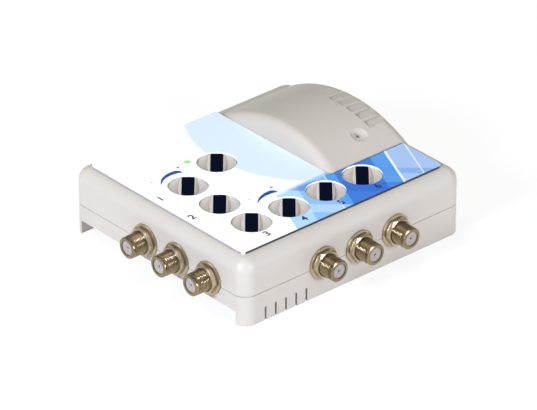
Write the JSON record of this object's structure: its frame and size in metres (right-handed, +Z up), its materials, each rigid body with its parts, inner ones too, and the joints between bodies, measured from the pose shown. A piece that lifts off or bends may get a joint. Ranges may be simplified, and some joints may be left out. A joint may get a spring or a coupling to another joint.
{
  "type": "tv signal amplifier",
  "caption": "Flat off-white signal splitter and amplifier box with coaxial sockets on its sides, a row of turning gain dials in its top and an arched hump over the transformer.",
  "frame": {"origin": "centre of the bounding box, sockets included, on the surface the box stands on", "axes": "+Z up, -Y the front wall with three of the sockets, -X the left wall with the other three, +X the right end with the louvres"},
  "size_m": [0.1304, 0.1284, 0.0392],
  "materials": {
    "casing": "satin moulded ABS, off-white",
    "label": "printed plate, white to pale blue",
    "dial": "moulded, cream",
    "inlay": "dark navy",
    "plating": "warm nickel plating",
    "insulator": "white",
    "contact": "plain",
    "board": "green solder mask",
    "potentiometer": "blue",
    "light": "clear green",
    "laminations": "varnished sheets",
    "bobbin": "natural nylon",
    "copper": "enamelled wire under tape",
    "steel": "zinc plated",
    "rubber": "soft black",
    "terminal": "green",
    "fuse_glass": "clear with plated caps",
    "black_plastic": "black",
    "can": "plain",
    "tinplate": "tinned",
    "ferrite": "dark grey ferrite"
  },
  "bodies": {
    "amplifier": {"top_cover": "casing", "bottom_cover": "casing", "label": "label", "tv_connector_1": "plating", "tv_connector_2": "plating", "tv_connector_3": "plating", "tv_connector_4": "plating", "tv_connector_5": "plating", "tv_connector_6": "plating", "antenna_connector": "plating", "connector_nuts": "plating", "connector_washers": "plating", "connector_insulators": "insulator", "connector_contacts": "contact", "fuse_clips": "contact", "circuit_board": "board", "output_potentiometer_1": "potentiometer", "output_potentiometer_2": "potentiometer", "output_potentiometer_3": "potentiometer", "output_potentiometer_4": "potentiometer", "output_potentiometer_5": "potentiometer", "output_potentiometer_6": "potentiometer", "input_potentiometer": "potentiometer", "led": "light", "light_pipe": "light", "transformer_core": "laminations", "transformer_bobbin": "bobbin", "primary_winding": "copper", "secondary_winding": "copper", "transformer_bracket": "steel", "case_screws": "steel", "board_screws": "steel", "bracket_screws": "steel", "mains_gland": "rubber", "mains_terminal": "terminal", "fuse": "fuse_glass", "rectifier_diodes": "black_plastic", "regulator": "black_plastic", "amplifier_chips": "black_plastic", "smoothing_capacitor": "can", "filter_capacitors": "can", "heat_sink": "can", "shield_can": "tinplate", "splitter_cores": "ferrite"},
    "output_1_dial": {"output_knob_1": "dial", "output_pointer_1": "inlay"},
    "output_2_dial": {"output_knob_2": "dial", "output_pointer_2": "inlay"},
    "output_3_dial": {"output_knob_3": "dial", "output_pointer_3": "inlay"},
    "output_4_dial": {"output_knob_4": "dial", "output_pointer_4": "inlay"},
    "output_5_dial": {"output_knob_5": "dial", "output_pointer_5": "inlay"},
    "output_6_dial": {"output_knob_6": "dial", "output_pointer_6": "inlay"},
    "input_dial": {"input_knob": "dial", "input_pointer": "inlay"}
  },
  "joints": [
    {"name": "output_1_dial_turn", "type": "hinge", "parent": "amplifier", "child": "output_1_dial", "pos_m": [-0.0306, 0.0087, 0.0278], "axis": [0, 0, 1], "range_deg": [0, 265]},
    {"name": "output_2_dial_turn", "type": "hinge", "parent": "amplifier", "child": "output_2_dial", "pos_m": [-0.0306, -0.0111, 0.0278], "axis": [0, 0, 1], "range_deg": [0, 265]},
    {"name": "output_3_dial_turn", "type": "hinge", "parent": "amplifier", "child": "output_3_dial", "pos_m": [-0.0306, -0.0309, 0.0278], "axis": [0, 0, 1], "range_deg": [0, 265]},
    {"name": "output_4_dial_turn", "type": "hinge", "parent": "amplifier", "child": "output_4_dial", "pos_m": [-0.0112, -0.0318, 0.0278], "axis": [0, 0, 1], "range_deg": [0, 265]},
    {"name": "output_5_dial_turn", "type": "hinge", "parent": "amplifier", "child": "output_5_dial", "pos_m": [0.0089, -0.0318, 0.0278], "axis": [0, 0, 1], "range_deg": [0, 265]},
    {"name": "output_6_dial_turn", "type": "hinge", "parent": "amplifier", "child": "output_6_dial", "pos_m": [0.029, -0.0318, 0.0278], "axis": [0, 0, 1], "range_deg": [0, 265]},
    {"name": "input_dial_turn", "type": "hinge", "parent": "amplifier", "child": "input_dial", "pos_m": [-0.009, 0.0157, 0.0278], "axis": [0, 0, 1], "range_deg": [0, 265]}
  ]
}
